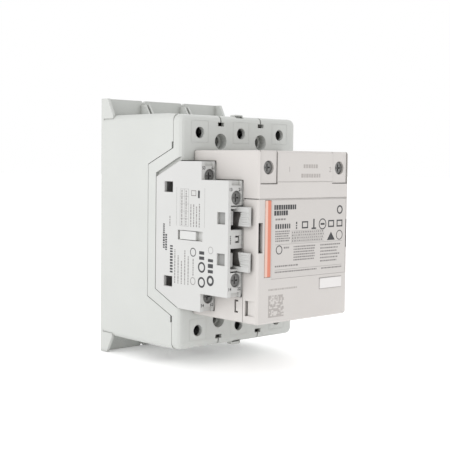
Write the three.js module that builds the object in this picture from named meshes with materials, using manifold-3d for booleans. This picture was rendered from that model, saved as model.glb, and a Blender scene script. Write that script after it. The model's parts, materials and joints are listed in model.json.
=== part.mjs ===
// A three-pole power contactor with a coil module on its front and an auxiliary contact block
// set into its left side. Every piece is one closed solid in its own named mesh.
//
// Millimetres. X runs to the right as seen from the front, Z is up and the front faces -Y.
// The mounting face is the plane y = 0. A depth d is counted forward from it, so y = -d.
import * as THREE from "three";
import { mergeVertices } from "three/addons/utils/BufferGeometryUtils.js";
import Module from "manifold-3d";

const wasm = await Module();
wasm.setup();

// ---------------------------------------------------------------- driving dimensions

const GAP = 0.3; // between pieces that touch
const WIDTH = 90;
const HEIGHT = 150; // over the top and bottom flanges
const DEPTH = 123; // mounting face to the front cover
const POLE_PITCH = 31;
const STROKE = 5; // of the contact carrier, forward when the coil pulls in
const CONTACT_GAP = 3.6; // of a main contact when open

const HALF = WIDTH / 2;
const POLES = [-POLE_PITCH, 0, POLE_PITCH];
const BETWEEN_POLES = [-POLE_PITCH / 2, POLE_PITCH / 2];
const ENDS = [1, -1]; // line side at the top, load side at the bottom

// Base and front housing. They meet on a line with a waist between two forward rims.
const WALL = 2.5;
const BASE_HALF = 65.2; // half height of the base behind its flanges
const HOUSING_HALF = 64.4; // half height of the front housing
const HOUSING_DEPTH = 72.5; // mounting face to the front housing's face
const HOUSING_CORNER = 4;
const HOUSING_EDGE = 3;
const FRONT_WALL = 2.5;
const RIM_DEPTH = 66.5;
const RIM_Z = 46.3;
const WAIST_DEPTH = 44.8;
const WAIST_Z = 37.2;
const FLANGE_THICK = 2.2;
const GUSSET_THICK = 1.7;
const GUSSET_TOP = 6.2; // depth of a gusset at the flange's edge
const GUSSET_FOOT = 11.4; // and where it meets the base
const CHAMBER_WALL = [46.4, 48.4]; // |z| of the wall between arc chamber and terminals

// Power terminals and mounting screws
const TERMINAL_Z = 54.7;
const TERMINAL_HOLE = 3.15;
const BAR = { half: 7.5, d0: 47, d1: 50, z0: 20, z1: 60.5 };
const TIP = { half: 5, d0: BAR.d0 - 1.5, z0: 21, z1: 28 };
const CAGE = { half: 10.2, wall: 2, d0: 31, d1: 58, rear: 3, front: 4, z0: -5.2, z1: 5 };
const SCREW = { radius: 4, d0: BAR.d1 + GAP, d1: 65, hex: 2.3, hexDeep: 5 };
const CABLE = { half: 8, d0: 33.5, d1: 47.5 }; // cable entry in the base's top and bottom walls
const MOUNT_Z = 50;
const MOUNT_HOLE = 3;
const MOUNT_TUBE = 4.9;
const MOUNT_COUNTERBORE = { radius: 4.4, deep: 5 };

// Snap tabs on the end faces: half width at the root and at the tip, and how far they stand out
const TAB = { top: { half: 3.3, tip: 2.8, out: 1.1 }, bottom: { half: 3.6, tip: 3, out: 1.9 } };

// Seats for side-mounted blocks, one on each side of the front housing
const SEAT_X = 33.9;
const SEAT = { back: 51.8, backZ: 32.4, cheek: 71.6, cheekZ: 41.3, wall: 1.4, leadIn: 1.6 };

// Coil module and its cover
const MODULE = { half: 35, halfZ: 45, d0: HOUSING_DEPTH + GAP, corner: 1.4, edge: 1, wall: 2.2 };
const SEAM_Z = 19.9; // between the module's fixed brow and the cover
const COVER_DEPTH = 112.4; // where the cover's side walls start
const COIL_TERMINAL = { x: 27.5, z: 36.2, half: 6.2, foot: 27.6, hole: 3.6 };

// Contact carrier and magnet
const CARRIER_HALF_Z = 6.5;
const BRIDGE = { half: 5, halfZ: 28.5, d0: 38, d1: 40.5 };
const SPRING_SEAT = 27; // rear wall of a bridge's window
const ARMATURE = { half: 27, halfZ: 14, d0: 68, d1: 77 };
const CORE = { half: 28, leg: 8, pole: ARMATURE.d1 + STROKE + 0.2, yoke: 100, d1: 110 };
const RETURN_SPRING_Z = 34;
const TONGUE = { d0: 58, d1: 62, half: 2 };

// Auxiliary contact block
const AUX = { x0: -HALF, x1: -35.4, wall: 1.8, coverX0: -35.1, coverX1: -34.2, terminalX: -39.3 };
const AUX_MIDDLE = -1; // height of the block's centre line
const AUX_BACK = { d: 52.3, z: 31.2 };
const AUX_SHOULDER = { d: 72, z: 40 };
const AUX_STEP_DEPTH = 90.2;
const AUX_FRONT = { d: 111.3, z: 30.2 };
const AUX_TERMINAL_HOLE = 3.7;
const LEVER = { z0: 6.8, z1: 16.8, d0: 101, d1: 119.3, x0: -43, x1: -36.4, pad: 1.8 };

// ---------------------------------------------------------------- solids

const AXIS_X = new THREE.Vector3(1, 0, 0);
const AXIS_Y = new THREE.Vector3(0, 1, 0);
const AXIS_Z = new THREE.Vector3(0, 0, 1);
const FORWARD = new THREE.Vector3(0, -1, 0);

function solid(geometry) {
  geometry.deleteAttribute("normal");
  geometry.deleteAttribute("uv");
  const merged = mergeVertices(geometry, 1e-4);
  return new wasm.Manifold(
    new wasm.Mesh({
      numProp: 3,
      vertProperties: merged.attributes.position.array,
      triVerts: new Uint32Array(merged.index.array),
    }),
  );
}

function union(parts) {
  return parts.reduce((whole, part) => whole.add(part));
}

function cut(body, tools) {
  return tools.reduce((left, tool) => left.subtract(tool), body);
}

function block(x0, x1, d0, d1, z0, z1) {
  const box = new THREE.BoxGeometry(x1 - x0, d1 - d0, z1 - z0);
  box.translate((x0 + x1) / 2, -(d0 + d1) / 2, (z0 + z1) / 2);
  return solid(box);
}

// A block given by |z| on one end: end is 1 for the top, -1 for the bottom.
function endBlock(end, x0, x1, d0, d1, near, far) {
  return end > 0 ? block(x0, x1, d0, d1, near, far) : block(x0, x1, d0, d1, -far, -near);
}

// A round rod along the depth.
function rod(x, z, d0, d1, radius, sides = 24) {
  const cylinder = new THREE.CylinderGeometry(radius, radius, d1 - d0, sides);
  cylinder.translate(x, -(d0 + d1) / 2, z);
  return solid(cylinder);
}

// An outline of [d, z] points, thick from x0 to x1.
function sidePrism(outline, x0, x1) {
  const shape = new THREE.Shape(outline.map(([d, z]) => new THREE.Vector2(-d, z)));
  const prism = new THREE.ExtrudeGeometry(shape, { depth: x1 - x0, bevelEnabled: false });
  prism.applyMatrix4(new THREE.Matrix4().makeBasis(AXIS_Y, AXIS_Z, AXIS_X));
  prism.translate(x0, 0, 0);
  return solid(prism);
}

// An outline of [x, z] points, thick from d0 to d1.
function frontPrism(outline, d0, d1) {
  const shape = new THREE.Shape(outline.map(([x, z]) => new THREE.Vector2(x, z)));
  return extrudeForward(shape, d0, d1, 0);
}

// An outline of [x, d] points, thick from z0 to z1.
function topPrism(outline, z0, z1) {
  const shape = new THREE.Shape(outline.map(([x, d]) => new THREE.Vector2(x, -d)));
  const prism = new THREE.ExtrudeGeometry(shape, { depth: z1 - z0, bevelEnabled: false });
  return solid(prism.translate(0, 0, z0));
}

// A shape in x and z pushed forward from d0 to d1, its front edge rounded by edge.
function extrudeForward(shape, d0, d1, edge) {
  const prism = new THREE.ExtrudeGeometry(shape, {
    depth: d1 - d0 - edge,
    bevelEnabled: edge > 0,
    bevelThickness: edge,
    bevelSize: edge,
    bevelOffset: -edge,
    bevelSegments: edge > 1 ? 3 : 1,
    curveSegments: edge > 1 ? 5 : 3,
  });
  prism.applyMatrix4(new THREE.Matrix4().makeBasis(AXIS_X, AXIS_Z, FORWARD));
  prism.translate(0, -d0, 0);
  const far = HEIGHT;
  return edge > 0 ? solid(prism).intersect(block(-far, far, d0, d1, -far, far)) : solid(prism);
}

function roundedRectangle(half, halfZ, radius) {
  const shape = new THREE.Shape();
  const x = half - radius;
  const z = halfZ - radius;
  shape.absarc(x, z, radius, 0, Math.PI / 2);
  shape.absarc(-x, z, radius, Math.PI / 2, Math.PI);
  shape.absarc(-x, -z, radius, Math.PI, 1.5 * Math.PI);
  shape.absarc(x, -z, radius, 1.5 * Math.PI, 2 * Math.PI);
  shape.closePath();
  return shape;
}

function roundedBlock(half, halfZ, d0, d1, corner, edge) {
  return extrudeForward(roundedRectangle(half, halfZ, corner), d0, d1, edge);
}

// Both z signs of a list of [d, z] points, as one closed outline.
function mirroredOutline(upper) {
  const lower = upper.map(([d, z]) => [d, -z]).reverse();
  return [...upper, ...lower];
}

// A cross for a screwdriver, cut into a screw's front face.
function crossSlot(x, z, face, deep, half, thick) {
  const arm = block(x - half, x + half, face - deep, face + 1, z - thick / 2, z + thick / 2);
  const other = block(x - thick / 2, x + thick / 2, face - deep, face + 1, z - half, z + half);
  return arm.add(other);
}

class Helix extends THREE.Curve {
  constructor(radius, d0, d1, turns) {
    super();
    Object.assign(this, { radius, d0, d1, turns });
  }
  getPoint(t, target = new THREE.Vector3()) {
    const angle = 2 * Math.PI * this.turns * t;
    const d = this.d0 + (this.d1 - this.d0) * t;
    return target.set(this.radius * Math.cos(angle), -d, this.radius * Math.sin(angle));
  }
}

function springGeometry(radius, wire, d0, d1, turns) {
  const section = new THREE.Shape().absarc(0, 0, wire, 0, 2 * Math.PI);
  return new THREE.ExtrudeGeometry(section, {
    steps: turns * 10,
    curveSegments: 3,
    extrudePath: new Helix(radius, d0 + wire, d1 - wire, turns),
    bevelEnabled: false,
  });
}

// ---------------------------------------------------------------- meshes

const PLASTIC = { color: 0xdcdedb, roughness: 0.55, metalness: 0 };
const MODULE_PLASTIC = { color: 0xdbd8d4, roughness: 0.5, metalness: 0 };
const AUX_PLASTIC = { color: 0xe4e4e2, roughness: 0.5, metalness: 0 };
const DARK_PLASTIC = { color: 0x3b3d40, roughness: 0.6, metalness: 0 };
const ACCENT = { color: 0xe0845f, roughness: 0.45, metalness: 0 };
const TAG = { color: 0xf0efec, roughness: 0.4, metalness: 0 };
const STEEL = { color: 0x8d8f90, roughness: 0.35, metalness: 0.9 };
const LAMINATED = { color: 0x6f7173, roughness: 0.5, metalness: 0.85 };
const COPPER = { color: 0xb87348, roughness: 0.35, metalness: 0.9 };
const ENAMEL = { color: 0x9a4a22, roughness: 0.4, metalness: 0.5 };
const BOARD = { color: 0x2f6b3f, roughness: 0.6, metalness: 0 };

const contactor = new THREE.Group();

function geometryOf(manifold) {
  const { vertProperties, triVerts } = manifold.getMesh();
  const geometry = new THREE.BufferGeometry();
  geometry.setAttribute("position", new THREE.BufferAttribute(vertProperties, 3));
  geometry.setIndex(new THREE.BufferAttribute(triVerts, 1));
  geometry.computeVertexNormals();
  return geometry;
}

function addMesh(name, shape, look, parent = contactor) {
  const geometry = shape.isBufferGeometry ? shape : geometryOf(shape);
  const mesh = new THREE.Mesh(geometry, new THREE.MeshStandardMaterial(look));
  mesh.name = name;
  parent.add(mesh);
  return mesh;
}

// ---------------------------------------------------------------- base

// The base's side outline, upper half: top wall, forward rim, waist.
function baseOutline() {
  return mirroredOutline([
    [0, BASE_HALF],
    [56.5, BASE_HALF],
    [60, HOUSING_HALF],
    [RIM_DEPTH, HOUSING_HALF],
    [RIM_DEPTH, RIM_Z],
    [WAIST_DEPTH, WAIST_Z],
  ]);
}

// A rib that stiffens a flange, seen from the side. It ends at |z| = top.
function ribOutline(end, top) {
  return [
    [0, BASE_HALF - 2],
    [GUSSET_FOOT, BASE_HALF - 2],
    [GUSSET_FOOT, BASE_HALF],
    [GUSSET_TOP, top],
    [0, top],
  ].map(([d, z]) => [d, end * z]);
}

// Gussets at a flange's corners, and a pair of ribs that guide each phase barrier.
function flangeRibs(end) {
  const gusset = ribOutline(end, HEIGHT / 2);
  const guide = ribOutline(end, HEIGHT / 2 - 2.2);
  const ribs = [
    sidePrism(gusset, -HALF, GUSSET_THICK - HALF),
    sidePrism(gusset, HALF - GUSSET_THICK, HALF),
  ];
  for (const x of BETWEEN_POLES) {
    ribs.push(sidePrism(guide, x - 2.1, x - 0.8), sidePrism(guide, x + 0.8, x + 2.1));
  }
  return ribs;
}

function barrierNotch(x, end) {
  const half = 1.7;
  const deep = 1.9;
  const tip = end * (HEIGHT / 2 - deep);
  const mouth = end * (HEIGHT / 2 + 0.1);
  return frontPrism([[x - half, mouth], [x, tip], [x + half, mouth]], -1, FLANGE_THICK + 1);
}

function rearBase() {
  const outer = roundedBlock(HALF, BASE_HALF, 0, RIM_DEPTH + 1, HOUSING_CORNER, 0);
  const shell = sidePrism(baseOutline(), -HALF, HALF).intersect(outer);
  const inner = [HALF - WALL, BASE_HALF - WALL];
  const hollow = block(-inner[0], inner[0], WALL, RIM_DEPTH + 1, -inner[1], inner[1]);
  const parts = [cut(shell, [hollow])];
  parts.push(block(-HALF, HALF, 0, FLANGE_THICK, -HEIGHT / 2, HEIGHT / 2));
  const holes = [];
  for (const end of ENDS) {
    parts.push(...flangeRibs(end));
    parts.push(endBlock(end, -inner[0] - 1, inner[0] + 1, WALL - 1, BAR.d0 - GAP, ...CHAMBER_WALL));
    for (const x of BETWEEN_POLES) {
      parts.push(rod(x, end * MOUNT_Z, WALL - 1, WAIST_DEPTH - GAP, MOUNT_TUBE, 16));
      holes.push(rod(x, end * MOUNT_Z, -1, WAIST_DEPTH + 1, MOUNT_HOLE));
      holes.push(rod(x, end * MOUNT_Z, WAIST_DEPTH - GAP, BAR.d0, MOUNT_TUBE + GAP, 16));
      holes.push(barrierNotch(x, end));
    }
    for (const x of POLES) {
      holes.push(endBlock(end, x - CABLE.half, x + CABLE.half, CABLE.d0, CABLE.d1, 60, 70));
    }
    // Snap slots where the front housing's hooks catch, at both ends of each rim.
    holes.push(endBlock(end, -HALF - 1, HALF + 1, RIM_DEPTH - 1.2, RIM_DEPTH + 1, 46, 49.5));
  }
  holes.push(...backRecesses());
  return cut(union(parts), holes);
}

// Shallow moulded recesses that leave a flat frame and a cross rib on the mounting face.
function backRecesses() {
  const deep = 1;
  const edge = 38;
  return ENDS.map((end) => endBlock(end, -edge, edge, -1, deep, 5, 40));
}

// ---------------------------------------------------------------- front housing

// Everything behind the parting line, as a cutting tool.
function behindParting() {
  return sidePrism(
    mirroredOutline([
      [-1, HEIGHT],
      [RIM_DEPTH + GAP, HEIGHT],
      [RIM_DEPTH + GAP, RIM_Z - GAP],
      [WAIST_DEPTH + GAP, WAIST_Z - GAP],
    ]),
    -HEIGHT,
    HEIGHT,
  );
}

function seatOutline(grow, front) {
  return mirroredOutline([
    [SEAT.back - grow, SEAT.backZ + grow / 2],
    [SEAT.cheek - grow / 2, SEAT.cheekZ + grow],
    [front, SEAT.cheekZ + grow],
  ]);
}

// A seat's hollow and its wall, on side -1 (left) or 1 (right). The hollow fits a block
// closely, and widens just under the outer face into a shallow lead-in.
function seatHollow(side) {
  const outer = [(HALF - SEAT.leadIn) * side, (HALF + 1) * side].sort((a, b) => a - b);
  return blockPocket(side).add(sidePrism(seatOutline(0, HOUSING_DEPTH + 1), ...outer));
}

// The room that a side-mounted block fills, in the housing and in the module's side.
function blockPocket(side) {
  const x = [SEAT_X * side, (HALF + 1) * side].sort((a, b) => a - b);
  return sidePrism(auxOutline(-0.4), ...x).translate([0, 0, AUX_MIDDLE]);
}

function seatWall(side) {
  const x = [(SEAT_X - SEAT.wall) * side, (HALF - 1) * side].sort((a, b) => a - b);
  return sidePrism(seatOutline(SEAT.wall, HOUSING_DEPTH - 1), ...x);
}

// The slot through a seat's floor for the carrier's tongue.
function tongueSlot(side) {
  const x = [(SEAT_X - 4) * side, (SEAT_X + 1) * side].sort((a, b) => a - b);
  const room = 0.5;
  return block(...x, TONGUE.d0 - room, TONGUE.d1 + STROKE + room, -2.6, 2.6);
}

// Guide for a phase barrier: a slot with a slit out to the end face.
function barrierGuide(x, end) {
  const slot = endBlock(end, x - 2.35, x + 2.35, HOUSING_DEPTH - 3, HOUSING_DEPTH + 1, 58.5, 60.6);
  const slit = endBlock(end, x - 0.45, x + 0.45, RIM_DEPTH + 1, HOUSING_DEPTH + 1, 60, 66);
  return slot.add(slit);
}

// A snap tab on the end face, tapered outwards, with a shadow slot in front of it.
function snapTab(end) {
  const { half, tip, out } = end > 0 ? TAB.top : TAB.bottom;
  const root = HOUSING_HALF - 1;
  const far = HOUSING_HALF + out;
  const edge = far - 0.6;
  const outline = [[-half, root], [half, root], [half, edge], [tip, far], [-tip, far], [-half, edge]];
  return frontPrism(outline.map(([x, z]) => [x, end * z]), RIM_DEPTH + GAP, 70.2);
}

function snapTabSlot(end) {
  const { tip } = end > 0 ? TAB.top : TAB.bottom;
  const near = HOUSING_HALF - 0.9;
  return endBlock(end, -tip, tip, 69, HOUSING_DEPTH + 1, near, HOUSING_HALF + 0.3);
}

function frontHousing() {
  const outer = roundedBlock(
    HALF, HOUSING_HALF, WAIST_DEPTH - 5, HOUSING_DEPTH, HOUSING_CORNER, HOUSING_EDGE,
  );
  const inside = HOUSING_DEPTH - FRONT_WALL;
  const innerZ = HOUSING_HALF - WALL;
  const hollow = block(WALL - HALF, HALF - WALL, 0, inside, -innerZ, innerZ);
  const clearZ = BASE_HALF - WALL - GAP; // of a wall that reaches back into the base
  const parts = [cut(outer, [behindParting(), hollow])];
  const holes = [block(-31, 31, 60, HOUSING_DEPTH + 1, -41, 41)];
  for (const side of [-1, 1]) {
    parts.push(seatWall(side));
    holes.push(seatHollow(side), tongueSlot(side));
  }
  for (const end of ENDS) {
    parts.push(snapTab(end));
    holes.push(snapTabSlot(end));
    for (const x of BETWEEN_POLES) {
      const z = end * MOUNT_Z;
      parts.push(endBlock(end, x - 0.8, x + 0.8, WAIST_DEPTH + GAP, inside + 1, 50, clearZ));
      parts.push(rod(x, z, WAIST_DEPTH + GAP, inside + 1, MOUNT_TUBE, 16));
      parts.push(rod(x, z, HOUSING_DEPTH - 6.3, inside + 1, MOUNT_COUNTERBORE.radius + 1.8, 16));
      holes.push(rod(x, z, WAIST_DEPTH - 1, HOUSING_DEPTH + 1, MOUNT_HOLE));
      const { radius, deep } = MOUNT_COUNTERBORE;
      holes.push(rod(x, z, HOUSING_DEPTH - deep, HOUSING_DEPTH + 1, radius, 32));
      holes.push(barrierGuide(x, end));
    }
    for (const x of POLES) {
      holes.push(rod(x, end * TERMINAL_Z, inside - 1, HOUSING_DEPTH + 1, TERMINAL_HOLE, 28));
    }
  }
  return cut(union(parts), holes);
}

// ---------------------------------------------------------------- coil module

function moduleOutline() {
  const { half, halfZ, d0, corner, edge } = MODULE;
  return roundedBlock(half, halfZ, d0, DEPTH, corner, edge);
}

// A coil terminal's shallow front recess, the groove round it, its screw hole and wire entry.
function coilTerminalCuts(side) {
  const { x, z, half, foot, hole } = COIL_TERMINAL;
  const centre = side * x;
  const face = DEPTH;
  const groove = 0.45;
  const top = MODULE.halfZ + 1;
  return [
    block(centre - half, centre + half, face - 0.5, face + 1, foot, top),
    block(centre - half, centre - half + groove, face - 1.2, face + 1, foot, top),
    block(centre + half - groove, centre + half, face - 1.2, face + 1, foot, top),
    block(centre - half, centre + half, face - 1.2, face + 1, foot, foot + groove),
    rod(centre, z, face - 5, face + 1, hole, 32),
    block(centre - 3, centre + 3, 107.6, 113.4, MODULE.halfZ - 4, top),
  ];
}

// The hook slot on a side wall's lower front corner, a square bracket seen from the side.
function hookSlot(side) {
  const x = [(MODULE.half - 4) * side, (MODULE.half + 1) * side].sort((a, b) => a - b);
  const upright = block(...x, 106.1, 107.3, -40, -33.2);
  const ends = [-40, -34.1].map((z) => block(...x, 106.1, 108.8, z, z + 0.9));
  return union([upright, ...ends]);
}

function moduleHousing() {
  const { half, halfZ, d0, wall } = MODULE;
  const cover = block(-half - 1, half + 1, COVER_DEPTH - GAP, DEPTH + 1, -halfZ - 1, SEAM_Z + GAP);
  const hollow = block(wall - half, half - wall, d0 - 1, DEPTH - 2.6, wall - halfZ, halfZ - wall);
  const shell = cut(moduleOutline(), [cover, hollow]);
  // Rails on the side walls that hold the magnet core.
  const rails = [];
  for (const side of [-1, 1]) {
    const x = [(CORE.half + GAP) * side, (half - 1) * side].sort((a, b) => a - b);
    for (const z of [-12, 0, 12]) rails.push(block(...x, 90, 109, z - 1, z + 1));
  }
  const brow = block(-half + 2, half - 2, DEPTH - 0.15, DEPTH + 1, 28.6, 29);
  const cuts = [brow];
  for (const side of [-1, 1]) cuts.push(...coilTerminalCuts(side), hookSlot(side), blockPocket(side));
  return cut(union([shell, ...rails]), cuts);
}

// ---------------------------------------------------------------- front cover

const STRIPE = { x0: -30.2, x1: -25.6, z0: -20.6, z1: 19.4 };
const TAG_PLACE = { x0: 12.2, x1: 30.2, z0: -29.6, z1: -23.6 };
const LABEL = { x0: -25, x1: 33.2, z0: -21.8, z1: 19.4 };

// The cover's finger pad: a ramp on the side that falls back to a narrow slot.
function coverSideCuts(side) {
  const at = (near, far) => [near * side, far * side].sort((a, b) => a - b);
  const { half } = MODULE;
  const ramp = [[half - 1, 115], [half + 1, 115], [half + 1, 121.5], [half, 121.5]];
  return [
    topPrism(ramp.map(([x, d]) => [x * side, d]), -40.8, -33),
    block(...at(half - 4, half + 1), 114, 115.2, -41, -33),
    block(...at(half - 3.4, half - 0.7), DEPTH - 4, DEPTH + 1, -7.8, 7.8),
  ];
}

function frontCover() {
  const { half, halfZ, wall } = MODULE;
  const region = block(-half - 1, half + 1, COVER_DEPTH, DEPTH + 1, -halfZ - 1, SEAM_Z - GAP / 2);
  const shell = moduleOutline().intersect(region);
  const hollow = block(wall - half, half - wall, 0, DEPTH - 2.4, wall - halfZ, SEAM_Z - 2);
  const { x0, x1, z0, z1 } = LABEL;
  const label = block(x0, x1, DEPTH - 0.25, DEPTH + 1, z0, z1);
  const stripe = block(STRIPE.x0, STRIPE.x1, DEPTH - 0.6, DEPTH + 1, STRIPE.z0, STRIPE.z1);
  const tag = block(TAG_PLACE.x0, TAG_PLACE.x1, DEPTH - 0.6, DEPTH + 1, TAG_PLACE.z0, TAG_PLACE.z1);
  return cut(shell, [hollow, label, stripe, tag, ...coverSideCuts(-1), ...coverSideCuts(1)]);
}

// A thin inlay that sits in a recess of the cover.
function inlay({ x0, x1, z0, z1 }, proud) {
  const half = (x1 - x0) / 2 - GAP / 2;
  const halfZ = (z1 - z0) / 2 - GAP / 2;
  const plate = roundedBlock(half, halfZ, DEPTH - 0.3, DEPTH + proud, 0.6, 0.2);
  return plate.translate([(x0 + x1) / 2, 0, (z0 + z1) / 2]);
}

// ---------------------------------------------------------------- magnet and coil

function magnetCore() {
  const { half, leg, pole, yoke, d1 } = CORE;
  const z = ARMATURE.halfZ;
  return union([
    block(-half, half, yoke, d1, -z, z),
    block(-half, leg - half, pole, yoke + 1, -z, z),
    block(-leg, leg, pole, yoke + 1, -z, z),
    block(half - leg, half, pole, yoke + 1, -z, z),
  ]);
}

function armature() {
  const { half, halfZ, d0, d1 } = ARMATURE;
  const plate = block(-half, half, d0, d1, -halfZ, halfZ);
  const rivets = [-18, 18].map((x) => rod(x, 0, d0 - 1, d1 + 1, 1.6, 16));
  return cut(plate, rivets);
}

const BOBBIN = { d0: 84.5, d1: 99.5, half: 19.4, halfZ: 25, flange: 1.7, hub: 1.4, ear: 40 };

function coilBobbin() {
  const { d0, d1, half, halfZ, flange: thick, hub, ear } = BOBBIN;
  const bore = [CORE.leg + 0.4, ARMATURE.halfZ + 0.4];
  const parts = [
    block(-bore[0] - hub, bore[0] + hub, d0, d1, -bore[1] - hub, bore[1] + hub),
    block(-half, half, d0, d0 + thick, -halfZ, halfZ),
    block(-8, 8, d0, d0 + thick, -ear, ear),
    block(-half, half, d1 - thick, d1, -halfZ, halfZ),
  ];
  return cut(union(parts), [block(-bore[0], bore[0], d0 - 1, d1 + 1, -bore[1], bore[1])]);
}

function coilWinding() {
  const { d0, d1, half, halfZ, flange: thick, hub } = BOBBIN;
  const inner = [CORE.leg + 0.4 + hub + GAP, ARMATURE.halfZ + 0.4 + hub + GAP];
  const outer = roundedBlock(half - 0.8, halfZ - 0.8, d0 + thick + GAP, d1 - thick - GAP, 5, 0);
  return cut(outer, [block(-inner[0], inner[0], 0, DEPTH, -inner[1], inner[1])]);
}

function circuitBoard() {
  const top = 29.1;
  const board = block(-31, 31, 88, 118, 27.5, top);
  const parts = [board, rod(-14, 33, 92, 104, 5, 20)];
  parts.push(block(-17, -11, 91.5, 104.5, top - 0.5, 30.5));
  parts.push(block(-2, 8, 91, 99, top - 0.5, 36));
  parts.push(block(12, 17, 92, 103, top - 0.5, 32.5));
  parts.push(block(-6, 4, 103, 110, top - 0.5, 31.2));
  return union(parts);
}

// A coil terminal's clamp box about its screw axis.
function coilClamp() {
  const box = block(-4.6, 4.6, 105.5, 116.5, -5.2, 5.2);
  return cut(box, [block(-3.2, 3.2, 107.4, 113.6, -6, 6), rod(0, 0, 112, 118, 2, 16)]);
}

function driverScrew(headRadius, shankRadius, tip, head, face) {
  const screw = rod(0, 0, tip, head + 0.5, shankRadius, 16).add(rod(0, 0, head, face, headRadius, 28));
  return cut(screw, [crossSlot(0, 0, face, 0.8, headRadius * 0.6, 0.8)]);
}

// ---------------------------------------------------------------- main contacts

// A fixed contact of the line side, about its pole's centre line.
function fixedContact() {
  const { half, d0, d1, z0, z1 } = BAR;
  const bar = block(-half, half, d0, d1, z0, z1);
  return bar.add(block(-TIP.half, TIP.half, TIP.d0, d0 + 0.5, TIP.z0, TIP.z1));
}

function movingBridge() {
  const { half, halfZ, d0, d1 } = BRIDGE;
  const tipFace = TIP.d0 - CONTACT_GAP;
  const parts = [block(-half, half, d0, d1, -halfZ, halfZ)];
  for (const end of ENDS) {
    parts.push(endBlock(end, -half + 0.5, half - 0.5, d1 - 0.5, tipFace, TIP.z0 + 0.5, TIP.z1 - 0.5));
  }
  return union(parts);
}

function clampCage() {
  const { half, wall, d0, d1, rear, front, z0, z1 } = CAGE;
  const ring = block(-half, half, d0, d1, z0, z1);
  const window = block(wall - half, half - wall, d0 + rear, d1 - front, z0 - 1, z1 + 1);
  return cut(ring, [window, rod(0, 0, d1 - front - 1, d1 + 1, SCREW.radius + GAP, 24)]);
}

function clampScrew() {
  const { radius, d0, d1, hex, hexDeep } = SCREW;
  return cut(rod(0, 0, d0, d1, radius, 24), [rod(0, 0, d1 - hexDeep, d1 + 1, hex, 6)]);
}

// Two combs of splitter plates on one rear plate, either side of a moving bridge.
function arcChute() {
  const half = 9.4;
  const plates = 6;
  const pitch = 2.5;
  const near = 31.4;
  const parts = [block(-half, half, 6, 7.6, -45.6, 45.6)];
  for (const end of ENDS) {
    for (const x of [-half, half - 1]) parts.push(endBlock(end, x, x + 1, 7, 40, near, 45.2));
    for (let i = 0; i < plates; i += 1) {
      const z = near + i * pitch;
      parts.push(endBlock(end, -half, half, 7, 44, z, z + 1));
    }
  }
  return union(parts);
}

// ---------------------------------------------------------------- contact carrier

// The window tower that holds one moving bridge and its spring.
function bridgeTower(x) {
  const tower = block(x - 8, x + 8, 24, 44.8, -CARRIER_HALF_Z, CARRIER_HALF_Z);
  const room = BRIDGE.half + 0.4;
  return cut(tower, [block(x - room, x + room, SPRING_SEAT, BRIDGE.d1 + GAP, -10, 10)]);
}

function contactCarrier() {
  const z = CARRIER_HALF_Z;
  const { d0, d1, half } = TONGUE;
  return union([
    ...POLES.map(bridgeTower),
    block(-POLE_PITCH - 8, POLE_PITCH + 8, BRIDGE.d1 + GAP, 44.8, -z, z),
    block(-30, 30, 44, 50, -z, z),
    block(-12, 12, 49, ARMATURE.d0 - GAP, -z, z),
    block(-6, 6, 58, 62, -39, 39),
    block(-30, -25, 49, d1, -3, 3),
    block(25, 30, 49, d1, -3, 3),
    block(-39, -26, d0, d1, -half, half),
    block(26, SEAT_X - 0.5, d0, d1, -half, half),
  ]);
}

// ---------------------------------------------------------------- auxiliary contact block

function auxOutline(inset) {
  const front = AUX_FRONT.z - inset;
  return mirroredOutline([
    [AUX_BACK.d + inset, AUX_BACK.z - inset / 2],
    [AUX_SHOULDER.d + inset / 2, AUX_SHOULDER.z - inset],
    [AUX_STEP_DEPTH - inset, AUX_SHOULDER.z - inset],
    [AUX_STEP_DEPTH - inset, front],
    [AUX_FRONT.d - inset, front],
  ]);
}

// The block's outline with its four front corners rounded.
function auxCoverOutline() {
  const corner = ({ d, z }) => [[d - 2.5, z], [d - 0.7, z - 0.7], [d, z - 2.5]];
  return mirroredOutline([
    [AUX_BACK.d, AUX_BACK.z],
    [AUX_SHOULDER.d, AUX_SHOULDER.z],
    ...corner({ d: AUX_STEP_DEPTH, z: AUX_SHOULDER.z }),
    [AUX_STEP_DEPTH, AUX_FRONT.z],
    ...corner(AUX_FRONT),
  ]);
}

// The front and rear screw positions of the block: z of the screw, depth of its face.
const AUX_TERMINALS = [
  { z: 21.4, face: AUX_FRONT.d },
  { z: 32.2, face: AUX_STEP_DEPTH },
];

function auxTerminalCuts(end) {
  const cuts = [];
  for (const { z, face } of AUX_TERMINALS) {
    const top = face === AUX_FRONT.d ? AUX_FRONT.z : AUX_SHOULDER.z;
    cuts.push(rod(AUX.terminalX, end * z, face - 4, face + 0.01, AUX_TERMINAL_HOLE, 28));
    cuts.push(endBlock(end, -42.6, -36.4, face - 1.6, face + 1, top - 2.4, top + 1));
  }
  return cuts;
}

// The small front slot of three teeth where a latch can be seen.
function catchSlot() {
  const front = [AUX_FRONT.d - 3, AUX_FRONT.d + 1];
  const spine = block(-37.9, -36.9, ...front, -1.9, 1.8);
  const teeth = [-1.9, 0.9].map((z) => block(-39.9, -37.5, ...front, z, z + 0.9));
  return [union([spine, ...teeth])];
}

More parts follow.
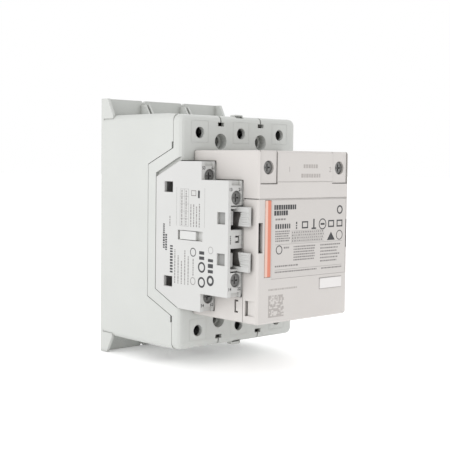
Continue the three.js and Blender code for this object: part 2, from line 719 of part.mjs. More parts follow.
function auxHousing() {
  const { x0, x1, wall } = AUX;
  const shell = sidePrism(auxOutline(0), x0, x1);
  const hollow = sidePrism(auxOutline(wall), x0 + wall, x1 + 1);
  const face = x0 - 1;
  const floor = x0 + wall + 0.5;
  const cuts = [
    hollow,
    block(face, floor, 71.2, 91.4, -2.4, 2.8), // window of the slider's tab
    ...catchSlot(),
  ];
  for (const end of ENDS) {
    cuts.push(...auxTerminalCuts(end));
    cuts.push(endBlock(end, face, floor, 59.5, 66.7, 23, 28.8));
    cuts.push(endBlock(end, face, x0 + 1.3, 102.9, 108.9, 7.6, 13.8));
    cuts.push(endBlock(end, x0 + wall, x1 + 1, AUX_FRONT.d - wall - 1, AUX_FRONT.d + 1, 4.8, 17.4));
  }
  // Walls behind the lever windows, so that the front isn't open to the contacts.
  const backs = ENDS.map((end) =>
    endBlock(end, x0 + wall - 0.3, -39.4, AUX_FRONT.d - 3.6, AUX_FRONT.d - 2.4, 7.2, 14.6),
  );
  return union([cut(shell, cuts), ...backs]);
}

function auxCover() {
  const plate = sidePrism(auxCoverOutline(), AUX.coverX0, AUX.coverX1);
  const slot = block(-HALF, 0, TONGUE.d0 - 0.6, TONGUE.d1 + STROKE + 0.6, -2, 4);
  const cuts = [slot];
  for (const end of ENDS) {
    cuts.push(endBlock(end, -HALF, 0, LEVER.d0 - 1, AUX_FRONT.d + 1, 4.8, 17.4));
  }
  return cut(plate, cuts);
}

function auxSlider() {
  const room = 0.2;
  const fork = [AUX.x0 + AUX.wall + 2.5, -37.3];
  const post = [fork[0] - 0.5, -37.4];
  return union([
    block(-42.9, -40.7, 56, 103, -5.5, 5.5),
    block(...fork, 56, TONGUE.d0 - room, -4, 4),
    block(...fork, TONGUE.d1 + room, 64, -4, 4),
    block(...post, 77.2, 79, -3, 3),
    block(...post, 89.9, 91.7, -3, 3),
    block(-44.9, -42.5, 72.8, 85.9, -2.1, 2.5), // the tab seen in the side window
  ]);
}

// Bridging strips: the first closes when the slider moves forward, the second opens.
const AUX_BRIDGES = [92, 76];
const AUX_STRIP = 0.8;

function auxBridge(d) {
  return block(-40.4, -37.6, d, d + AUX_STRIP, -11, 11);
}

// A fixed auxiliary contact: the strip from the tip to the nut under its screw.
function auxContact(end, tip, screwZ) {
  const far = screwZ + 3.6;
  const strip = endBlock(end, -42.8, -37.2, tip, tip + AUX_STRIP, 7.6, far);
  const nut = endBlock(end, -42.8, -37.2, tip - 4, tip + 0.2, screwZ - 3.2, screwZ + 3.2);
  return cut(strip.add(nut), [rod(AUX.terminalX, end * screwZ, tip - 5, tip + 2, 1.8, 16)]);
}

// A release lever: a ribbed thumb pad beside the module, on a root inside the block.
function auxLever(end) {
  const { z0, z1, d0, d1, x0, x1, pad } = LEVER;
  const arm = z1 - 2.6;
  const outline = [[d0, arm], [114, arm], [112.3, z0 + 3.6], [111.5, z0], [d1, z0], [d1, z1], [d0, z1]];
  const plate = sidePrism(outline.map(([d, z]) => [d, end * z]), x1 - pad, x1);
  const root = endBlock(end, x0, x1, d0, 110.5, z1 - 1.2, z1);
  const ribs = [1.4, 3.8, 6.2].map((up) =>
    endBlock(end, x1 - pad - 0.4, x1 - pad + 0.2, 113.6, d1, z0 + up, z0 + up + 0.7),
  );
  return union([plate, root, ...ribs]);
}

// ---------------------------------------------------------------- assembly

function buildHousings() {
  addMesh("rear_base", rearBase(), PLASTIC);
  addMesh("front_housing", frontHousing(), PLASTIC);
  addMesh("module_housing", moduleHousing(), MODULE_PLASTIC);
  addMesh("front_cover", frontCover(), MODULE_PLASTIC);
  addMesh("accent_stripe", inlay(STRIPE, 0.3), ACCENT);
  addMesh("marker_tag", inlay(TAG_PLACE, 0.5), TAG);
}

function buildMagnet() {
  addMesh("magnet_core", magnetCore(), LAMINATED);
  addMesh("coil_bobbin", coilBobbin(), DARK_PLASTIC);
  addMesh("coil_winding", coilWinding(), ENAMEL);
  addMesh("circuit_board", circuitBoard(), BOARD);
  addMesh("armature", armature(), LAMINATED);
  ENDS.forEach((end, i) => {
    const spring = springGeometry(3.6, 0.5, 62.3, BOBBIN.d0 - 0.2, 7);
    addMesh(`return_spring_${i + 1}`, spring, STEEL).position.z = end * RETURN_SPRING_Z;
  });
  [-1, 1].forEach((side, i) => {
    const place = new THREE.Group();
    place.position.set(side * COIL_TERMINAL.x, 0, COIL_TERMINAL.z);
    addMesh(`coil_clamp_${i + 1}`, coilClamp(), STEEL, place);
    addMesh(`coil_screw_${i + 1}`, driverScrew(3.3, 1.7, 108, 118.3, 121.2), STEEL, place);
    contactor.add(place);
  });
}

// One power terminal: the group turns half a turn about the depth axis for the load side.
function addTerminal(pole, end, number) {
  const place = new THREE.Group();
  place.position.set(0, 0, end * TERMINAL_Z);
  place.rotation.y = end > 0 ? 0 : Math.PI;
  addMesh(`clamp_cage_${number}`, clampCage(), STEEL, place);
  addMesh(`clamp_screw_${number}`, clampScrew(), STEEL, place);
  pole.add(place);
}

function buildPoles() {
  POLES.forEach((x, i) => {
    const pole = new THREE.Group();
    pole.position.x = x;
    addMesh(`line_contact_${i + 1}`, fixedContact(), COPPER, pole);
    addMesh(`load_contact_${i + 1}`, fixedContact(), COPPER, pole).rotation.y = Math.PI;
    addMesh(`moving_bridge_${i + 1}`, movingBridge(), COPPER, pole);
    addMesh(`arc_chute_${i + 1}`, arcChute(), STEEL, pole);
    const spring = springGeometry(3.3, 0.45, SPRING_SEAT + 0.1, BRIDGE.d0 - 0.1, 4);
    addMesh(`contact_spring_${i + 1}`, spring, STEEL, pole);
    addTerminal(pole, 1, i + 1);
    addTerminal(pole, -1, i + 1 + POLES.length);
    contactor.add(pole);
  });
  addMesh("contact_carrier", contactCarrier(), DARK_PLASTIC);
}

function buildAuxBlock() {
  const blockGroup = new THREE.Group();
  blockGroup.position.z = AUX_MIDDLE;
  addMesh("aux_housing", auxHousing(), AUX_PLASTIC, blockGroup);
  addMesh("aux_cover", auxCover(), AUX_PLASTIC, blockGroup);
  addMesh("aux_slider", auxSlider(), AUX_PLASTIC, blockGroup);
  const tips = [AUX_BRIDGES[0] + AUX_STRIP + STROKE + 0.2, AUX_BRIDGES[1] - AUX_STRIP - GAP];
  let number = 0;
  AUX_TERMINALS.forEach(({ z, face }, row) => {
    addMesh(`aux_bridge_${row + 1}`, auxBridge(AUX_BRIDGES[row]), COPPER, blockGroup);
    for (const end of ENDS) {
      number += 1;
      addMesh(`aux_contact_${number}`, auxContact(end, tips[row], z), COPPER, blockGroup);
      const screw = driverScrew(3.4, 1.5, tips[row] - 3, face - 3.6, face - 1);
      const mesh = addMesh(`aux_screw_${number}`, screw, STEEL, blockGroup);
      mesh.position.set(AUX.terminalX, 0, end * z);
    }
  });
  ENDS.forEach((end, i) => addMesh(`aux_lever_${i + 1}`, auxLever(end), AUX_PLASTIC, blockGroup));
  contactor.add(blockGroup);
}

buildHousings();
buildMagnet();
buildPoles();
buildAuxBlock();

export default contactor;
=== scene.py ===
"""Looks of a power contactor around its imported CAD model.

Materials, printed marks, springs and the studio.
"""

import json
import math
import random

import bmesh
import bpy
from mathutils import Matrix, Vector


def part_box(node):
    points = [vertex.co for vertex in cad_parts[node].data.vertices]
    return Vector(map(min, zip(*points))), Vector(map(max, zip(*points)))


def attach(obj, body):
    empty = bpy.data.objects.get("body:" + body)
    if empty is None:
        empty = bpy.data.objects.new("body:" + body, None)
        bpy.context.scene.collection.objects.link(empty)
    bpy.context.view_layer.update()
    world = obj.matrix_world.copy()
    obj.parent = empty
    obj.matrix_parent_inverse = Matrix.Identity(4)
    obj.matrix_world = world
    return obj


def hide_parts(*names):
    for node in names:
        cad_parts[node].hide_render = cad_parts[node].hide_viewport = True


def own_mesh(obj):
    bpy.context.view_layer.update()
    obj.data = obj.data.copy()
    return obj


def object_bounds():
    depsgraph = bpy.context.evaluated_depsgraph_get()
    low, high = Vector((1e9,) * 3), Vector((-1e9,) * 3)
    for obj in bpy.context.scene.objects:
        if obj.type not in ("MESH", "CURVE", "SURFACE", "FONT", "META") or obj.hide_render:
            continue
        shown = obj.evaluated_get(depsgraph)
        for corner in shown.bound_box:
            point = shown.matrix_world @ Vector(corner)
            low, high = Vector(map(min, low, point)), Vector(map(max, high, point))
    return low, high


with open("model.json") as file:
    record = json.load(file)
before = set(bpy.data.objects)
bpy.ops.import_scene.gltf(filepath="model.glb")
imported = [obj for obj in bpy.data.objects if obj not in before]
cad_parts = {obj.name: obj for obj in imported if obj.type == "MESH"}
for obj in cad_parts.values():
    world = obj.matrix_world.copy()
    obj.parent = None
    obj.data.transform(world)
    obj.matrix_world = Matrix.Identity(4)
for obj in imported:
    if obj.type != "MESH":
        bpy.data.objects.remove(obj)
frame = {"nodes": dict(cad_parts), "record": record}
cad_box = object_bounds()

MM = 0.001


def corners(node):
    """Lowest and highest corner of a CAD node, in millimetres."""
    return [[round(value / MM, 3) for value in corner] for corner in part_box(node)]


# Faces that carry print or marks, in millimetres: depths counted forward from the mounting face,
# but for the top of the cover, the left side of the block and the height of the block's middle.
COVER_LOW, COVER_HIGH = corners("front_cover")
COVER_FACE = -COVER_LOW[1]
COVER_TOP = COVER_HIGH[2]
LABEL_FACE = 122.97
HOUSING_FRONT = -corners("front_housing")[0][1]
RECESS_FLOOR = 0.98  # in the recesses of the mounting face
BLOCK_LOW, BLOCK_HIGH = corners("aux_housing")
AUX_SIDE = BLOCK_LOW[0]
AUX_FRONT = -BLOCK_LOW[1]
AUX_STEP = 90.2  # where the block's front steps back, beside its highest and lowest screw
AUX_MIDDLE = (BLOCK_LOW[2] + BLOCK_HIGH[2]) / 2
INK = 0.02  # half the thickness of printed ink
OUTLINE = 0.04  # half the thickness of moulded outlines


# ---------------------------------------------------------------- materials

# In metres: how far the painted shade of corners and cavities reaches, the radius of a moulded edge,
# and half the width of the change from one colour to another.
CORNER_REACH = 0.003
CAVITY_REACH = 0.014
MOULDED_RADIUS = 0.0003
COLOUR_STEP = 0.0001


class Nodes:
    """A material's node tree, with short calls for the nodes used here."""

    def __init__(self, name):
        self.material = bpy.data.materials.new(name)
        self.material.use_nodes = True
        self.tree = self.material.node_tree
        self.tree.nodes.clear()
        self.shader = self.add("ShaderNodeBsdfPrincipled")
        output = self.add("ShaderNodeOutputMaterial")
        self.link(self.shader.outputs["BSDF"], output.inputs["Surface"])
        self.place = self.add("ShaderNodeTexCoord").outputs["Object"]

    def add(self, kind, **settings):
        node = self.tree.nodes.new(kind)
        for key, value in settings.items():
            setattr(node, key, value)
        return node

    def link(self, source, target):
        self.tree.links.new(source, target)

    def noise(self, scale, detail=3.0, roughness=0.5, stretch=None):
        node = self.add("ShaderNodeTexNoise")
        node.inputs["Scale"].default_value = scale
        node.inputs["Detail"].default_value = detail
        node.inputs["Roughness"].default_value = roughness
        source = self.place
        if stretch:
            mapping = self.add("ShaderNodeMapping")
            mapping.inputs["Scale"].default_value = stretch
            self.link(source, mapping.inputs["Vector"])
            source = mapping.outputs["Vector"]
        self.link(source, node.inputs["Vector"])
        return node.outputs["Fac"]

    def between(self, factor, low, high):
        """factor from 0.3 to 0.7 mapped to low to high."""
        node = self.add("ShaderNodeMapRange")
        node.inputs["From Min"].default_value = 0.3
        node.inputs["From Max"].default_value = 0.7
        node.inputs["To Min"].default_value = low
        node.inputs["To Max"].default_value = high
        self.link(factor, node.inputs["Value"])
        return node.outputs["Result"]

    def mix(self, factor, first, second, blend="MIX"):
        node = self.add("ShaderNodeMix", data_type="RGBA", blend_type=blend)
        sockets = (node.inputs[0], node.inputs[6], node.inputs[7])  # factor and the two colours
        for value, socket in zip((factor, first, second), sockets):
            if isinstance(value, (int, float)):
                socket.default_value = value
            elif isinstance(value, tuple):
                socket.default_value = (*value, 1)
            else:
                self.link(value, socket)
        return node.outputs[2]

    def crevice(self, distance, low, high, shut=0.35, open_at=0.95):
        """low where the surroundings are shut in, high on open faces: the mask for painted shade."""
        node = self.add("ShaderNodeAmbientOcclusion", samples=8)
        node.inputs["Distance"].default_value = distance
        ramp = self.add("ShaderNodeMapRange")
        ramp.inputs["From Min"].default_value = shut
        ramp.inputs["From Max"].default_value = open_at
        ramp.inputs["To Min"].default_value = low
        ramp.inputs["To Max"].default_value = high
        self.link(node.outputs["AO"], ramp.inputs["Value"])
        return ramp.outputs["Result"]

    def rounded(self, radius):
        """Normals that catch the light on an edge as a moulded radius does."""
        node = self.add("ShaderNodeBevel", samples=6)
        node.inputs["Radius"].default_value = radius
        return node.outputs["Normal"]

    def bump(self, height, strength, distance, after=None):
        node = self.add("ShaderNodeBump")
        node.inputs["Strength"].default_value = strength
        node.inputs["Distance"].default_value = distance
        self.link(height, node.inputs["Height"])
        if after is not None:
            self.link(after, node.inputs["Normal"])
        return node.outputs["Normal"]

    def finish(self, colour, roughness, normal=None, metallic=0.0):
        settings = ((colour, "Base Color"), (roughness, "Roughness"), (metallic, "Metallic"))
        for value, socket in settings:
            target = self.shader.inputs[socket]
            if isinstance(value, tuple):
                target.default_value = (*value, 1)
            elif isinstance(value, (int, float)):
                target.default_value = value
            else:
                self.link(value, target)
        if normal is not None:
            self.link(normal, self.shader.inputs["Normal"])
        return self.material


def shade(colour, factor):
    return tuple(min(1.0, channel * factor) for channel in colour)


def moulded(
    name, colour, roughness=0.5, grain=0.35, corner_shade=0.75, cavity_shade=0.3, shut_below=0.26, second=None
):
    """A moulded plastic: spark-eroded grain, faint flow marks, painted shade in corners and
    cavities.

    corner_shade and cavity_shade are the shares of the colour left as painted shade in corners and
    deep inside, and shut_below is how open a place may be and still count as inside. second is a
    colour that takes over where x is above a place in metres: (colour, place).
    """
    n = Nodes(name)
    if second:
        across = n.add("ShaderNodeSeparateXYZ")
        n.link(n.place, across.inputs[0])
        step = n.add("ShaderNodeMapRange")
        second_colour, place = second
        step.inputs["From Min"].default_value = place - COLOUR_STEP
        step.inputs["From Max"].default_value = place + COLOUR_STEP
        n.link(across.outputs["X"], step.inputs["Value"])
        body = n.mix(step.outputs["Result"], colour, second_colour)
    else:
        body = n.mix(n.between(n.noise(28, 2), 0, 1), shade(colour, 0.98), shade(colour, 1.015))
    speck = n.between(n.noise(2600, 1), 0, 1)
    body = n.mix(speck, body, n.mix(1.0, body, (0.965, 0.965, 0.965), "MULTIPLY"))
    # Painted shade: darker towards corners, where occlusion would shade them.
    corner = n.crevice(CORNER_REACH, 1, 0)
    body = n.mix(corner, body, n.mix(1.0, body, (corner_shade, corner_shade, corner_shade * 0.98), "MULTIPLY"))
    # Painted shade: darker deep in cavities and slots, where little light reaches.
    shut_in = n.crevice(CAVITY_REACH, 1, 0, 0.02, shut_below)
    body = n.mix(shut_in, body, n.mix(1.0, body, (cavity_shade, cavity_shade, cavity_shade), "MULTIPLY"))
    rough = n.between(n.noise(900, 3), roughness - 0.05, roughness + 0.06)
    normal = n.bump(n.noise(2100, 4, 0.6), grain, 0.00006, n.rounded(MOULDED_RADIUS))
    normal = n.bump(n.noise(45, 2), 0.06, 0.0006, normal)
    return n.finish(body, rough, normal)


def metal(name, colour, roughness=0.35, stretch=(1, 1, 30), tarnish=0.8, metallic=1.0, corner=0.4):
    """A worked metal: drawn or turned lines, with a slight tarnish, and painted shade in corners and
    cavities.
    """
    n = Nodes(name)
    lines = n.noise(500, 3, 0.6, stretch)
    patch = n.between(n.noise(90, 3), 0, 1)
    body = n.mix(patch, shade(colour, tarnish), colour)
    # Painted shade: darker into corners.
    body = n.mix(n.crevice(0.002, 1, 0), body, shade(colour, corner))
    # Painted shade: much darker deep in cavities.
    body = n.mix(n.crevice(CAVITY_REACH, 1, 0, 0.03, 0.2), body, shade(colour, 0.12))
    rough = n.between(lines, roughness - 0.08, roughness + 0.12)
    return n.finish(body, rough, n.bump(lines, 0.25, 0.00008), metallic)


def laminations(name, colour):
    """Stacked electrical sheets: fine dark lines across the height."""
    n = Nodes(name)
    wave = n.add("ShaderNodeTexWave", bands_direction="Z")
    wave.inputs["Scale"].default_value = 320
    wave.inputs["Distortion"].default_value = 0.4
    n.link(n.place, wave.inputs["Vector"])
    body = n.mix(wave.outputs["Fac"], shade(colour, 0.45), colour)
    body = n.mix(n.between(n.noise(60), 0, 0.4), body, shade(colour, 0.7))
    rough = n.between(n.noise(300), 0.35, 0.55)
    return n.finish(body, rough, n.bump(wave.outputs["Fac"], 0.4, 0.0001), 0.9)


def wound(name, colour):
    """Layers of enamelled wire round the hub."""
    n = Nodes(name)
    wave = n.add("ShaderNodeTexWave", bands_direction="Y")
    wave.inputs["Scale"].default_value = 500
    wave.inputs["Distortion"].default_value = 0.25
    n.link(n.place, wave.inputs["Vector"])
    body = n.mix(wave.outputs["Fac"], shade(colour, 0.35), colour)
    rough = n.between(n.noise(200), 0.25, 0.45)
    return n.finish(body, rough, n.bump(wave.outputs["Fac"], 0.7, 0.0002), 0.6)


def printed_board(name, colour):
    """Solder mask with lighter tracks under it."""
    n = Nodes(name)
    cells = n.add("ShaderNodeTexBrick", offset=0.37)
    cells.inputs["Scale"].default_value = 260
    cells.inputs["Mortar Size"].default_value = 0.03
    n.link(n.place, cells.inputs["Vector"])
    body = n.mix(cells.outputs["Fac"], colour, shade(colour, 2.2))
    rough = n.between(n.noise(150), 0.3, 0.45)
    return n.finish(body, rough, n.bump(cells.outputs["Fac"], 0.3, 0.0001))


def paper(name, colour):
    """A satin label stock with a faint fibre, and painted shade along its edges."""
    n = Nodes(name)
    fibre = n.noise(900, 4, 0.6, (1, 1, 3))
    body = n.mix(n.between(fibre, 0, 1), shade(colour, 0.975), shade(colour, 1.015))
    # Painted shade: darker at the label's edges, where the recess closes in.
    body = n.mix(n.crevice(0.0012, 1, 0), body, shade(colour, 0.7))
    return n.finish(body, n.between(n.noise(60), 0.33, 0.43), n.bump(fibre, 0.08, 0.00005))


def ink(name, colour):
    """Pad print, a little uneven in its cover."""
    n = Nodes(name)
    thin = n.between(n.noise(1800, 2), 0, 0.45)
    return n.finish(n.mix(thin, colour, shade(colour, 1.5)), n.between(n.noise(500), 0.45, 0.6))


PLASTIC = moulded("housing_plastic", (0.56, 0.571, 0.551), 0.52, cavity_shade=0.1, shut_below=0.07)
MODULE = moulded("module_plastic", (0.597, 0.57, 0.549), 0.46, 0.3, cavity_shade=0.05, shut_below=0.36)
AUX = moulded("aux_plastic", (0.57, 0.57, 0.56), 0.44, 0.22, corner_shade=0.88, cavity_shade=0.16, shut_below=0.17)
SLIDER = moulded("slider_plastic", (0.6, 0.6, 0.59), 0.42, 0.2, corner_shade=0.9, cavity_shade=0.7)
DARK = moulded("dark_plastic", (0.035, 0.036, 0.038), 0.55, 0.4)
# The stripe is this red from x = -28.3 mm rightwards; left of that its lighter colour is a painted
# highlight, a lit copy of the red on the stripe's bevelled side.
STRIPE_RED = ((0.66, 0.22, 0.14), -0.0283)
ACCENT = moulded(
    "accent_plastic", (0.74, 0.5, 0.42), 0.36, 0.15, corner_shade=0.9, cavity_shade=0.6, second=STRIPE_RED
)
TAG = moulded("tag_plastic", (0.74, 0.72, 0.71), 0.33, 0.1, corner_shade=0.85)
# Painted shade: the dark grey of the plates at the bottom of the lever windows.
WINDOW_SHADE = moulded("window_shade_plastic", (0.29, 0.29, 0.285), 0.5, 0.3)
GRAPHITE = moulded("graphite_print", (0.06, 0.06, 0.062), 0.6, 0.3)
LABEL_STOCK = paper("label_stock", (0.565, 0.540, 0.520))
BLACK_INK = ink("black_ink", (0.035, 0.035, 0.038))
GREY_INK = ink("grey_ink", (0.20, 0.19, 0.185))
PALE_INK = ink("pale_ink", (0.36, 0.335, 0.32))
ZINC = metal("zinc_plate", (0.52, 0.53, 0.55), 0.36)
SCREW = metal(
    "screw_steel", (0.25, 0.25, 0.246), 0.55, (30, 30, 1), tarnish=0.85, metallic=0.55, corner=0.6
)
SPLITTER = metal("splitter_plate", (0.42, 0.41, 0.39), 0.4)
SPRING = metal("spring_wire", (0.55, 0.56, 0.57), 0.3, (20, 20, 20))
COPPER = metal("copper_bar", (0.76, 0.38, 0.24), 0.3)
CORE = laminations("laminated_core", (0.34, 0.34, 0.35))
WINDING = wound("coil_wire", (0.48, 0.16, 0.06))
BOARD = printed_board("solder_mask", (0.02, 0.13, 0.05))

BY_SLOT = {
    "housing_plastic": PLASTIC,
    "module_plastic": MODULE,
    "aux_plastic": AUX,
    "slider_plastic": SLIDER,
    "accent": ACCENT,
    "tag": TAG,
    "dark_plastic": DARK,
    "laminated_steel": CORE,
    "winding": WINDING,
    "board": BOARD,
    "spring_steel": SPRING,
    "zinc_steel": ZINC,
    "screw_steel": SCREW,
    "splitter_steel": SPLITTER,
    "copper": COPPER,
}
SLOT_OF = {part["node"]: part["material_slot"] for part in frame["record"]["subparts"]}

for node, obj in frame["nodes"].items():
    obj.data.materials.clear()
    obj.data.materials.append(BY_SLOT[SLOT_OF[node]])


# ---------------------------------------------------------------- pieces


def piece(name, mesh, body, material):
    """A new piece of the object, riding on a CAD body."""
    obj = bpy.data.objects.new(name, mesh)
    bpy.context.scene.collection.objects.link(obj)
    mesh.materials.clear()
    mesh.materials.append(material)
    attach(obj, body)
    return obj


class Marks:
    """Thin plates on one plane, gathered into one mesh. u and v are millimetres in the plane."""

    def __init__(self, origin, across, up, half=INK):
        self.origin = Vector(origin) * MM
        self.across = Vector(across)
        self.up = Vector(up)
        self.out = self.across.cross(self.up)
        self.half = half
        self.bm = bmesh.new()

    def at(self, u, v, w):
        return self.origin + (self.across * u + self.up * v + self.out * w) * MM

    def prism(self, points):
        """A closed plate over an outline in the plane."""
        low = [self.bm.verts.new(self.at(u, v, -self.half)) for u, v in points]
        high = [self.bm.verts.new(self.at(u, v, self.half)) for u, v in points]
        self.bm.faces.new(list(reversed(low)))
        self.bm.faces.new(high)
        for i, vertex in enumerate(low):
            j = (i + 1) % len(low)
            self.bm.faces.new((vertex, low[j], high[j], high[i]))

    def bar(self, u0, u1, v0, v1):
        self.prism([(u0, v0), (u1, v0), (u1, v1), (u0, v1)])

    def border(self, u0, u1, v0, v1, thick):
        self.bar(u0, u1, v0, v0 + thick)
        self.bar(u0, u1, v1 - thick, v1)
        self.bar(u0, u0 + thick, v0 + thick, v1 - thick)
        self.bar(u1 - thick, u1, v0 + thick, v1 - thick)

    def ring(self, u, v, radius, thick, sides=24):
        """A ring of short plates that meet end to end."""
        inner = radius - thick
        step = 2 * math.pi / sides
        for i in range(sides):
            a, b = i * step, (i + 1) * step
            self.prism([
                (u + inner * math.cos(a), v + inner * math.sin(a)),
                (u + radius * math.cos(a), v + radius * math.sin(a)),
                (u + radius * math.cos(b), v + radius * math.sin(b)),
                (u + inner * math.cos(b), v + inner * math.sin(b)),
            ])

    def runs(self, start, end, height, seed, low, high, gap):
        """Stretches between start and end, as long as words or letters, none of them legible."""
        draw = random.Random(seed)
        place = start
        while place < end - low * height:
            stop = min(end, place + draw.uniform(low, high) * height)
            yield place, stop
            place = stop + gap * height

    def line(self, u0, u1, v, height, seed, low=0.7, high=2.2, gap=0.5):
        for a, b in self.runs(u0, u1, height, seed, low, high, gap):
            self.bar(a, b, v, v + height)

    def column(self, u, width, v0, v1, seed, low=0.7, high=2.2, gap=0.5):
        for a, b in self.runs(v0, v1, width, seed, low, high, gap):
            self.bar(u, u + width, a, b)

    def paragraph(self, u0, u1, top, rows, pitch, height, seed, ragged=1.5):
        """Rows of small print, one under the other, with uneven ends."""
        for row in range(rows):
            self.line(u0, u1 - ragged * (row % 3), top - height - pitch * row, height, seed + row)

    def frame(self, u, v, half):
        """A plain framed field round a point."""
        half_height, thick = 0.8 * half, 0.3 * half
        self.border(u - half, u + half, v - half_height, v + half_height, thick)

    def piece(self, name, body, slot, material):
        bmesh.ops.recalc_face_normals(self.bm, faces=self.bm.faces)
        mesh = bpy.data.meshes.new(name)
        self.bm.to_mesh(mesh)
        self.bm.free()
        return piece(name, mesh, body, material)


RIGHT, LEFT, UP = (1, 0, 0), (-1, 0, 0), (0, 0, 1)
FORWARD, BACK = (0, -1, 0), (0, 1, 0)


def on_front(depth, half=INK):
    """Marks on a front face: u is x, v is z."""
    return Marks((0, -depth, 0), RIGHT, UP, half)


def on_left(x, half=INK):
    """Marks on a left face: u is depth, v is z."""
    return Marks((x, 0, 0), FORWARD, UP, half)


def up_the_left(x, half=INK):
    """Marks on a left face with lettering that runs upwards: u is z, v is minus the depth."""
    return Marks((x, 0, 0), UP, BACK, half)


def numeral(name, text, height, place, body, material, bold=0.01):
    """A terminal's number as thin raised print on a front face, its lower left corner at place.

    bold is how far each stroke is widened, as a share of the height.
    """
    size_over_height = 1.35
    curve = bpy.data.curves.new(name, "FONT")
    curve.body = text
    curve.size = height * MM * size_over_height
    curve.extrude = INK * MM
    curve.offset = height * MM * bold
    curve.resolution_u = 3
    holder = bpy.data.objects.new(name + "_curve", curve)
    bpy.context.scene.collection.objects.link(holder)
    bpy.context.view_layer.update()
    outline = holder.evaluated_get(bpy.context.evaluated_depsgraph_get())
    mesh = bpy.data.meshes.new_from_object(outline)
    bpy.data.objects.remove(holder)
    turn = Matrix((RIGHT, UP, FORWARD)).transposed().to_4x4()
    mesh.transform(Matrix.Translation(Vector(place) * MM) @ turn)
    return piece(name, mesh, body, material)


# ---------------------------------------------------------------- rating label on the cover

# The sheet in the cover's recess, and the margin round its print.
LABEL = {"left": -24.9, "right": 33.1, "bottom": -21.7, "top": 19.3}
MARGIN = 2.5

# Shortest and longest stretch and the gap of bold lettering, as shares of its height.
BOLD = (0.42, 0.62, 0.16)
SPACED = (0.35, 0.55, 0.25)


def label_sheet():
    """The label's stock, its face a hair behind the print."""
    half_thick, under_ink = 0.1, 0.01
    sheet = on_front(LABEL_FACE - half_thick - under_ink, half_thick)
    sheet.bar(LABEL["left"], LABEL["right"], LABEL["bottom"], LABEL["top"])
    sheet.piece("rating_label", "cover", "module_plastic", LABEL_STOCK)


def label_symbols(marks, left, right, top):
    """Plain shapes in the places of symbols: fields, rings, a barred ring, a stem and a triangle."""
    row, pitch = top - 11, 7
    places = [right - 2.5 - pitch * place for place in range(6)]
    barred, stem, letters = places[2], places[3], places[5]
    marks.ring(right - 2.5, top - 3.5, 2.4, 0.8)
    for place in (0, 1, 4):
        marks.frame(places[place], row, 2.4)
    marks.ring(barred, row, 3, 0.55, 32)
    marks.bar(barred - 1.6, barred + 1.6, row - 0.5, row + 0.5)
    marks.bar(stem - 1.8, stem + 1.8, row - 2.5, row - 1.7)
    marks.bar(stem - 0.5, stem + 0.5, row - 1.7, row + 3)
    marks.column(letters, 0.9, row - 2, row + 2, 4)
    peak, apex, base, half_base = places[1], top - 15.5, top - 20, 3.2
    marks.prism([(peak - half_base, base), (peak + half_base, base), (peak, apex)])
    marks.ring(places[0], top - 17.5, 2.7, 0.45)
    marks.ring(left + 3, top - 23.5, 2.4, 0.5)


def label_table(marks, left, right, top):
    """Ruled rows with print between the rules."""
    row_height, thick, small, inset = 1.5, 0.1, 0.7, 0.5
    for row in range(5):
        rule = top - row_height * row
        marks.bar(left, right, rule, rule + thick)
        if row:
            marks.line(left + inset, right - inset, rule + 0.4, small, 20 + row, 0.9, 1.8, 1.1)


def label_small_print(marks, left, right, top):
    """Paragraphs beside and under the table, two rules and a footer."""
    small, larger, thick = 0.7, 0.9, 0.12
    marks.line(left, left + 7.5, top - 8, larger, 5)
    marks.paragraph(left, left + 11, top - 13.5, 5, 1.25, small, 10, 0.6)
    label_table(marks, left + 12, left + 38, top - 14)
    marks.line(left + 6.5, left + 11.5, top - 23, larger, 30)
    marks.paragraph(left + 14, left + 31, top - 22, 6, 1.4, small, 31, 0.5)
    marks.paragraph(left + 35, right - 1.5, top - 22, 6, 1.75, 0.75, 41)
    marks.line(left, left + 17.5, top - 32.5, 0.8, 50)
    marks.line(left, left + 33, top - 35.5, small, 51)
    marks.line(left + 36, right, top - 35.5, small, 52)
    for rule in (top - 20.8, top - 34):
        marks.bar(left, right, rule, rule + thick)


def label_print():
    """A name, a type, symbols, a table, paragraphs and a footer, none of them legible."""
    left, right, top = LABEL["left"] + MARGIN, LABEL["right"] - MARGIN, LABEL["top"] - MARGIN
    letter = 2.5
    black = on_front(LABEL_FACE)
    for row, length in enumerate((17, 11)):
        black.line(left - 1, left - 1 + length, top - letter - 3 * row, letter, 1 + row, *BOLD)
    black.line(left, left + 12, top - 12.5, letter, 3, *SPACED)
    label_symbols(black, left, right, top)
    black.piece("label_print_dark", "cover", "module_plastic", BLACK_INK)

    grey = on_front(LABEL_FACE)
    label_small_print(grey, left, right, top)
    grey.piece("label_print_grey", "cover", "module_plastic", GREY_INK)


def code_block():
    """A square of scattered cells under the label, which encodes nothing, and a dashed line."""
    draw = random.Random(7)
    cells, cell = 15, 0.77
    left, top = LABEL["left"] - 2, LABEL["bottom"] - 8.5
    marks = on_front(COVER_FACE)
    for row in range(cells):
        for column in range(cells):
            rim = row == cells - 1 or column == 0
            if rim or draw.random() < 0.5:
                x, z = left + cell * column, top - cell * row
                marks.bar(x, x + cell, z - cell, z)
    marks.line(left, left + 22, top + 2.5, 0.9, 8)
    marks.piece("cover_print", "cover", "module_plastic", PALE_INK)


def brow_print():
    """Two lines of print between the coil terminals, and a number beside each terminal."""
    middle, letter = 4, 2
    marks = on_front(COVER_FACE)
    for row, length in enumerate((11.5, 15)):
        start, end, z = middle - length / 2, middle + length / 2, 36 - 5 * row
        marks.line(start, end, z, letter, 61 + row, 0.5, 0.9, 0.25)
    marks.piece("brow_print", "housing", "module_plastic", PALE_INK)
    for number, x in (("1", middle - 17.5), ("2", middle + 14.5)):
        place = (x, -COVER_FACE, 34)
        numeral(f"coil_mark_{number}", number, 2.9, place, "housing", PALE_INK)


# ---------------------------------------------------------------- print on the auxiliary block


# On the block's side, where print above the slider's window starts and print below it ends.
ABOVE_WINDOW = AUX_MIDDLE + 5
BELOW_WINDOW = AUX_MIDDLE - 6


